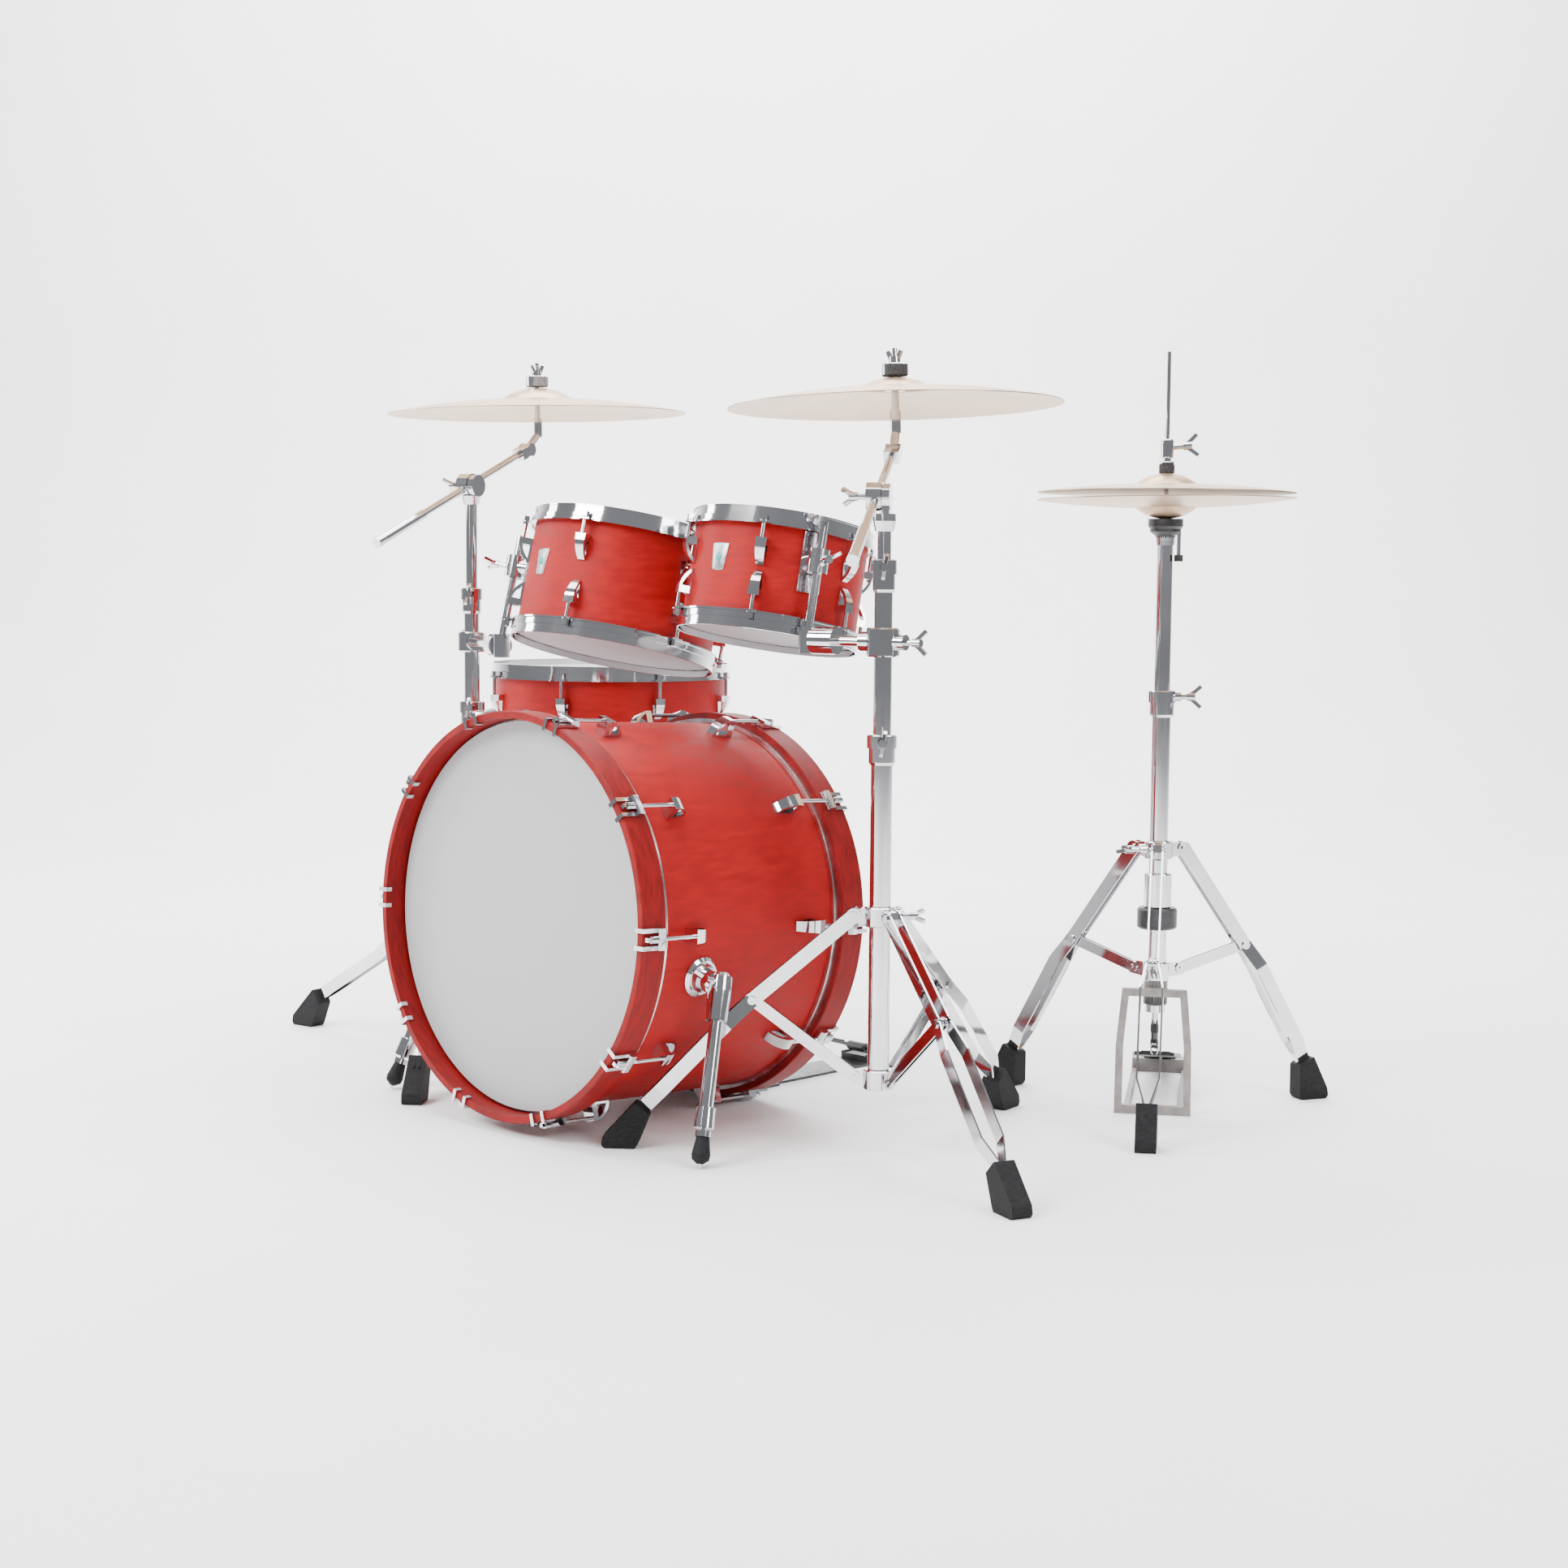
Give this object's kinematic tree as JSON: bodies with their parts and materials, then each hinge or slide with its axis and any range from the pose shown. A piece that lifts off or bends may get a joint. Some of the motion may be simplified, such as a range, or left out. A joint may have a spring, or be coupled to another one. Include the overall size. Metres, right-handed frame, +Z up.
{
  "type": "acoustic drum kit",
  "caption": "Acoustic drum kit: bass drum, hung toms, floor tom, boom cymbal stands with cymbals, hi-hat stand and bass drum pedal.",
  "frame": {"origin": "on the floor under the middle of the bounding box", "axes": "+Z up, +Y from the front head of the bass drum towards the drummer, +X towards the hi-hat at the drummer's left"},
  "size_m": [1.7406, 1.1072, 1.1592],
  "materials": {
    "red_stained_maple": "satin red stain over maple",
    "drumhead_film": "translucent film",
    "cymbal_bronze": "lathed bronze",
    "black_pedal_metal": "black paint",
    "grey_pedal_frame": "grey-brown satin",
    "chrome": "polished"
  },
  "bodies": {
    "kit": {"bass_drum_shell": "red_stained_maple", "bass_drum_hoops": "red_stained_maple", "bass_drum_heads": "drumhead_film", "bass_drum_lugs": "chrome", "bass_drum_claws": "chrome", "kick_pedal_frame": "black_pedal_metal", "floor_tom_legs": "chrome", "right_stand_base_tube": "chrome", "left_stand_base_tube": "chrome", "left_stand_legs": "chrome", "hihat_base_tube": "chrome", "hihat_frame": "grey_pedal_frame"},
    "spur_left": {"bass_drum_spur_left": "chrome"},
    "spur_right": {"bass_drum_spur_right": "chrome"},
    "kick_footboard": {"kick_pedal_footboard": "black_pedal_metal"},
    "kick_beater": {"kick_pedal_beater": "chrome"},
    "floor_tom": {"floor_tom_shell": "red_stained_maple", "floor_tom_hoops": "chrome", "floor_tom_heads": "drumhead_film", "floor_tom_hardware": "chrome"},
    "right_stand_crown": {"right_stand_crown": "chrome"},
    "right_stand_leg_1": {"right_stand_leg_1": "chrome"},
    "right_stand_strut_1": {"right_stand_strut_1": "chrome"},
    "right_stand_leg_2": {"right_stand_leg_2": "chrome"},
    "right_stand_strut_2": {"right_stand_strut_2": "chrome"},
    "right_stand_leg_3": {"right_stand_leg_3": "chrome"},
    "right_stand_strut_3": {"right_stand_strut_3": "chrome"},
    "hihat_crown": {"hihat_crown": "chrome"},
    "hihat_leg_1": {"hihat_leg_1": "chrome"},
    "hihat_strut_1": {"hihat_strut_1": "chrome"},
    "hihat_leg_2": {"hihat_leg_2": "chrome"},
    "hihat_strut_2": {"hihat_strut_2": "chrome"},
    "hihat_leg_3": {"hihat_leg_3": "chrome"},
    "hihat_strut_3": {"hihat_strut_3": "chrome"},
    "right_stand_middle_tube": {"right_stand_middle_tube": "chrome"},
    "right_stand_upper_tube": {"right_stand_upper_tube": "chrome"},
    "right_stand_boom": {"right_stand_boom": "chrome"},
    "right_stand_cymbal_tilter": {"right_stand_cymbal_tilter": "chrome"},
    "crash_cymbal": {"crash_cymbal": "cymbal_bronze"},
    "tom_10_arm": {"tom_10_mount": "chrome"},
    "tom_10": {"tom_10_shell": "red_stained_maple", "tom_10_hoops": "chrome", "tom_10_heads": "drumhead_film", "tom_10_hardware": "chrome"},
    "left_stand_middle_tube": {"left_stand_middle_tube": "chrome"},
    "left_stand_upper_tube": {"left_stand_upper_tube": "chrome"},
    "left_stand_boom": {"left_stand_boom": "chrome"},
    "left_stand_cymbal_tilter": {"left_stand_cymbal_tilter": "chrome"},
    "ride_cymbal": {"ride_cymbal": "cymbal_bronze"},
    "tom_12_arm": {"tom_12_mount": "chrome"},
    "tom_12": {"tom_12_shell": "red_stained_maple", "tom_12_hoops": "chrome", "tom_12_heads": "drumhead_film", "tom_12_hardware": "chrome"},
    "hihat_upper_tube": {"hihat_upper_tube": "chrome"},
    "hihat_bottom_cymbal": {"hihat_bottom_cymbal": "cymbal_bronze"},
    "hihat_rod": {"hihat_pull_rod": "chrome", "hihat_top_cymbal": "cymbal_bronze"},
    "hihat_chain": {"hihat_chain": "chrome"},
    "hihat_footboard": {"hihat_footboard": "black_pedal_metal"}
  },
  "joints": [
    {"name": "spur_left_fold", "type": "hinge", "parent": "kit", "child": "spur_left", "pos_m": [0.35383, -0.40354, 0.239], "axis": [-0.9759, 0.0091, 0.218], "range_deg": [0, 60]},
    {"name": "spur_right_fold", "type": "hinge", "parent": "kit", "child": "spur_right", "pos_m": [-0.25817, -0.40354, 0.239], "axis": [-0.9759, -0.0091, -0.218], "range_deg": [0, 60]},
    {"name": "kick_footboard_press", "type": "hinge", "parent": "kit", "child": "kick_footboard", "pos_m": [0.04783, 0.20646, 0.026], "axis": [1, 0, 0], "range_deg": [0, 12], "stiffness_Nm_per_rad": 5, "springref_deg": -20.05},
    {"name": "kick_beater_swing", "type": "hinge", "parent": "kit", "child": "kick_beater", "pos_m": [0.04783, -0.06854, 0.16], "axis": [1, 0, 0], "range_deg": [0, 42]},
    {"name": "floor_tom_height", "type": "slide", "parent": "kit", "child": "floor_tom", "axis": [0, 0, 1], "range_m": [0, 0.06]},
    {"name": "right_stand_fold", "type": "slide", "parent": "kit", "child": "right_stand_crown", "axis": [0, 0, 1], "range_m": [0, 0.1]},
    {"name": "right_stand_leg_1_swing", "type": "hinge", "parent": "right_stand_crown", "child": "right_stand_leg_1", "pos_m": [0.47294, -0.26201, 0.3345], "axis": [0.6521, -0.7581, 0], "range_deg": [0, 24.42]},
    {"name": "right_stand_strut_1_swing", "type": "hinge", "parent": "kit", "child": "right_stand_strut_1", "pos_m": [0.47446, -0.26071, 0.108], "axis": [-0.6521, 0.7581, 0], "range_deg": [0, 26.69]},
    {"name": "right_stand_leg_2_swing", "type": "hinge", "parent": "right_stand_crown", "child": "right_stand_leg_2", "pos_m": [0.53421, -0.25043, 0.3345], "axis": [0.3305, 0.9438, 0], "range_deg": [0, 24.42]},
    {"name": "right_stand_strut_2_swing", "type": "hinge", "parent": "kit", "child": "right_stand_strut_2", "pos_m": [0.53232, -0.24977, 0.108], "axis": [-0.3305, -0.9438, 0], "range_deg": [0, 26.69]},
    {"name": "right_stand_leg_3_swing", "type": "hinge", "parent": "right_stand_crown", "child": "right_stand_leg_3", "pos_m": [0.49355, -0.20316, 0.3345], "axis": [-0.9826, -0.1857, 0], "range_deg": [0, 24.42]},
    {"name": "right_stand_strut_3_swing", "type": "hinge", "parent": "kit", "child": "right_stand_strut_3", "pos_m": [0.49392, -0.20513, 0.108], "axis": [0.9826, 0.1857, 0], "range_deg": [0, 26.69]},
    {"name": "hihat_fold", "type": "slide", "parent": "kit", "child": "hihat_crown", "axis": [0, 0, 1], "range_m": [0, 0.07]},
    {"name": "hihat_leg_1_swing", "type": "hinge", "parent": "hihat_crown", "child": "hihat_leg_1", "pos_m": [0.61916, 0.24164, 0.397], "axis": [0.8281, 0.5606, 0], "range_deg": [0, 11.48]},
    {"name": "hihat_strut_1_swing", "type": "hinge", "parent": "kit", "child": "hihat_strut_1", "pos_m": [0.61972, 0.24081, 0.215], "axis": [-0.8281, -0.5606, 0], "range_deg": [0, 31.66]},
    {"name": "hihat_leg_2_swing", "type": "hinge", "parent": "hihat_crown", "child": "hihat_leg_2", "pos_m": [0.61421, 0.31075, 0.397], "axis": [-0.8996, 0.4368, 0], "range_deg": [0, 11.48]},
    {"name": "hihat_strut_2_swing", "type": "hinge", "parent": "kit", "child": "hihat_strut_2", "pos_m": [0.61464, 0.31165, 0.215], "axis": [0.8996, -0.4368, 0], "range_deg": [0, 31.66]},
    {"name": "hihat_leg_3_swing", "type": "hinge", "parent": "hihat_crown", "child": "hihat_leg_3", "pos_m": [0.55683, 0.2719, 0.397], "axis": [0.0715, -0.9974, 0], "range_deg": [0, 11.48]},
    {"name": "hihat_strut_3_swing", "type": "hinge", "parent": "kit", "child": "hihat_strut_3", "pos_m": [0.55584, 0.27183, 0.215], "axis": [-0.0715, 0.9974, 0], "range_deg": [0, 31.66]},
    {"name": "right_stand_middle_height", "type": "slide", "parent": "kit", "child": "right_stand_middle_tube", "axis": [0, 0, 1], "range_m": [0, 0.1]},
    {"name": "right_stand_upper_height", "type": "slide", "parent": "right_stand_middle_tube", "child": "right_stand_upper_tube", "axis": [0, 0, 1], "range_m": [-0.02, 0.12]},
    {"name": "right_stand_boom_tilt", "type": "hinge", "parent": "right_stand_upper_tube", "child": "right_stand_boom", "pos_m": [0.49203, -0.24664, 0.9112], "axis": [0.8237, 0.567, 0], "range_deg": [-5, 20]},
    {"name": "right_stand_cymbal_tilt", "type": "hinge", "parent": "right_stand_boom", "child": "right_stand_cymbal_tilter", "pos_m": [0.397, -0.10856, 0.98108], "axis": [0.8237, 0.567, 0], "range_deg": [-15, 15]},
    {"name": "crash_cymbal_swing", "type": "hinge", "parent": "right_stand_cymbal_tilter", "child": "crash_cymbal", "pos_m": [0.38825, -0.09793, 1.08318], "axis": [0.8237, 0.567, 0], "range_deg": [-3, 3], "stiffness_Nm_per_rad": 3},
    {"name": "tom_10_arm_swing", "type": "hinge", "parent": "right_stand_middle_tube", "child": "tom_10_arm", "pos_m": [0.50023, -0.23854, 0.7], "axis": [0, 0, 1], "range_deg": [-12, 2]},
    {"name": "tom_10_swivel", "type": "hinge", "parent": "tom_10_arm", "child": "tom_10", "pos_m": [0.37926, -0.24318, 0.82262], "axis": [0, 0.1994, 0.9799], "range_deg": [-8, 8]},
    {"name": "left_stand_middle_height", "type": "slide", "parent": "kit", "child": "left_stand_middle_tube", "axis": [0, 0, 1], "range_m": [0, 0.1]},
    {"name": "left_stand_upper_height", "type": "slide", "parent": "left_stand_middle_tube", "child": "left_stand_upper_tube", "axis": [0, 0, 1], "range_m": [-0.02, 0.12]},
    {"name": "left_stand_boom_tilt", "type": "hinge", "parent": "left_stand_upper_tube", "child": "left_stand_boom", "pos_m": [-0.45527, -0.20874, 0.945], "axis": [0.9681, 0.2507, 0], "range_deg": [-5, 10]},
    {"name": "left_stand_cymbal_tilt", "type": "hinge", "parent": "left_stand_boom", "child": "left_stand_cymbal_tilter", "pos_m": [-0.49559, -0.05306, 1.01145], "axis": [0.9681, 0.2507, 0], "range_deg": [-15, 15]},
    {"name": "ride_cymbal_swing", "type": "hinge", "parent": "left_stand_cymbal_tilter", "child": "ride_cymbal", "pos_m": [-0.50332, -0.02471, 1.11409], "axis": [0.9681, 0.2507, 0], "range_deg": [-3, 3], "stiffness_Nm_per_rad": 3},
    {"name": "tom_12_arm_swing", "type": "hinge", "parent": "left_stand_middle_tube", "child": "tom_12_arm", "pos_m": [-0.45247, -0.20604, 0.7], "axis": [0, 0, 1], "range_deg": [-2, 12]},
    {"name": "tom_12_swivel", "type": "hinge", "parent": "tom_12_arm", "child": "tom_12", "pos_m": [-0.25285, -0.2755, 0.81197], "axis": [0, 0.2419, 0.9703], "range_deg": [-8, 8]},
    {"name": "hihat_height", "type": "slide", "parent": "kit", "child": "hihat_upper_tube", "axis": [0, 0, 1], "range_m": [0, 0.1]},
    {"name": "hihat_footboard_press", "type": "hinge", "parent": "kit", "child": "hihat_footboard", "pos_m": [0.43303, 0.51656, 0.024], "axis": [0.8281, 0.5606, 0], "range_deg": [0, 1], "stiffness_Nm_per_rad": 20, "springref_deg": -28.65},
    {"name": "hihat_rod_pull", "type": "slide", "parent": "hihat_upper_tube", "child": "hihat_rod", "axis": [0, 0, 1], "range_m": [-0.005, 0]},
    {"name": "hihat_chain_pull", "type": "slide", "parent": "kit", "child": "hihat_chain", "axis": [0, 0, 1], "range_m": [-0.005, 0]},
    {"name": "hihat_lower_cymbal_tilt", "type": "hinge", "parent": "hihat_upper_tube", "child": "hihat_bottom_cymbal", "pos_m": [0.59673, 0.27476, 0.893], "axis": [-0.7034, 0.7108, 0], "range_deg": [0, 1.2]}
  ],
  "couplings": [
    {"joint": "kick_beater_swing", "follows": "kick_footboard_press", "ratio": 3.5},
    {"joint": "right_stand_leg_1_swing", "follows": "right_stand_fold", "rad_per_m": 4.2598},
    {"joint": "right_stand_strut_1_swing", "follows": "right_stand_fold", "rad_per_m": 4.6573},
    {"joint": "right_stand_leg_2_swing", "follows": "right_stand_fold", "rad_per_m": 4.2598},
    {"joint": "right_stand_strut_2_swing", "follows": "right_stand_fold", "rad_per_m": 4.6573},
    {"joint": "right_stand_leg_3_swing", "follows": "right_stand_fold", "rad_per_m": 4.2598},
    {"joint": "right_stand_strut_3_swing", "follows": "right_stand_fold", "rad_per_m": 4.6573},
    {"joint": "hihat_leg_1_swing", "follows": "hihat_fold", "rad_per_m": 2.8599},
    {"joint": "hihat_strut_1_swing", "follows": "hihat_fold", "rad_per_m": 7.8921},
    {"joint": "hihat_leg_2_swing", "follows": "hihat_fold", "rad_per_m": 2.8599},
    {"joint": "hihat_strut_2_swing", "follows": "hihat_fold", "rad_per_m": 7.8921},
    {"joint": "hihat_leg_3_swing", "follows": "hihat_fold", "rad_per_m": 2.8599},
    {"joint": "hihat_strut_3_swing", "follows": "hihat_fold", "rad_per_m": 7.8921},
    {"joint": "hihat_rod_pull", "follows": "hihat_footboard_press", "m_per_rad": -0.276},
    {"joint": "hihat_chain_pull", "follows": "hihat_footboard_press", "m_per_rad": -0.276}
  ]
}
